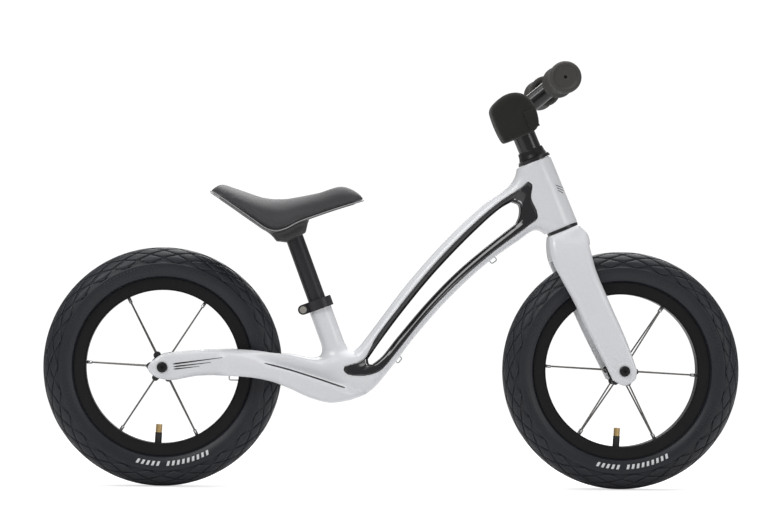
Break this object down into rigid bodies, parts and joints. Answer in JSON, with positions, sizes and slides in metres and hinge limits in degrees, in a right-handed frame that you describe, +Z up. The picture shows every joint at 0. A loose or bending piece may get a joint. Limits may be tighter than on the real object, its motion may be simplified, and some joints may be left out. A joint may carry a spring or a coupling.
{
  "type": "balance bike",
  "caption": "Child's balance bike: curved one-piece frame with a long open slot, spoked wheels with air tyres, padded saddle on a sliding post and a straight handlebar.",
  "frame": {"origin": "on the ground, halfway between the two axles, on the mid-plane", "axes": "+X forward, +Y to the rider's left, +Z up"},
  "size_m": [0.869, 0.39, 0.5225],
  "materials": {
    "frame_paint": "satin clear over cool off-white paint",
    "bezel_gloss": "gloss black",
    "grip_tape": "rough anti-slip grit",
    "loop_wire": "fine drawn wire",
    "clamp_black": "black anodised",
    "bolt_steel": "zinc plated",
    "bolt_black": "black oxide",
    "bearing_steel": "ground steel",
    "axle_steel": "plain steel",
    "post_black": "satin black anodised",
    "stem_black": "gloss black anodised",
    "headset_black": "satin black",
    "saddle_shell": "fine moulded texture",
    "saddle_vinyl": "satin vinyl with a fine grain",
    "pad_neoprene": "matte knitted face over foam",
    "grip_rubber": "matte moulded rubber",
    "tyre_rubber": "matte rubber",
    "tube_rubber": "plain rubber",
    "rim_black": "satin black",
    "spoke_steel": "dark steel",
    "nipple_steel": "nickel plated",
    "valve_rubber": "plain rubber",
    "valve_brass": "turned brass",
    "hub_black": "satin black"
  },
  "bodies": {
    "frame": {"frame": "frame_paint", "strap_loops": "loop_wire", "slot_bezel_left": "bezel_gloss", "slot_bezel_right": "bezel_gloss", "footrest_grips": "grip_tape", "seat_clamp": "clamp_black", "seat_clamp_bolt": "bolt_steel", "upper_headset_bearing": "bearing_steel", "lower_headset_bearing": "bearing_steel", "rear_axle": "axle_steel", "rear_axle_spacers": "hub_black", "rear_axle_bolts": "bolt_black"},
    "seat": {"seat_post": "post_black", "saddle_base": "saddle_shell", "saddle_cover": "saddle_vinyl"},
    "steering": {"fork": "frame_paint", "steerer_tube": "stem_black", "crown_ring": "headset_black", "headset_seal": "headset_black", "headset_cone": "headset_black", "stem": "stem_black", "stem_clamp_bolts": "bolt_black", "steerer_top_cap": "headset_black", "stem_pad": "pad_neoprene", "handlebar": "stem_black", "grip_left": "grip_rubber", "grip_right": "grip_rubber", "front_axle": "axle_steel", "front_axle_spacers": "hub_black", "front_axle_bolts": "bolt_black"},
    "front_wheel": {"front_tyre": "tyre_rubber", "front_inner_tube": "tube_rubber", "front_rim": "rim_black", "front_rim_tape": "tube_rubber", "front_spokes": "spoke_steel", "front_nipples": "nipple_steel", "front_valve_stem": "valve_rubber", "front_valve_core": "valve_brass", "front_hub_shell": "hub_black", "front_hub_bearings": "bearing_steel"},
    "rear_wheel": {"rear_tyre": "tyre_rubber", "rear_inner_tube": "tube_rubber", "rear_rim": "rim_black", "rear_rim_tape": "tube_rubber", "rear_spokes": "spoke_steel", "rear_nipples": "nipple_steel", "rear_valve_stem": "valve_rubber", "rear_valve_core": "valve_brass", "rear_hub_shell": "hub_black", "rear_hub_bearings": "bearing_steel"}
  },
  "joints": [
    {"name": "steering_turn", "type": "hinge", "parent": "frame", "child": "steering", "pos_m": [0.19261, 0, 0.36958], "axis": [-0.3891, 0, 0.9212], "range_deg": [-60, 60]},
    {"name": "front_wheel_spin", "type": "hinge", "parent": "steering", "child": "front_wheel", "pos_m": [0.286, 0, 0.1485], "axis": [0, 1, 0], "continuous": true},
    {"name": "rear_wheel_spin", "type": "hinge", "parent": "frame", "child": "rear_wheel", "pos_m": [-0.286, 0, 0.1485], "axis": [0, 1, 0], "continuous": true},
    {"name": "seat_height", "type": "slide", "parent": "frame", "child": "seat", "axis": [-0.3502, 0, 0.9367], "range_m": [-0.045, 0.03]}
  ]
}
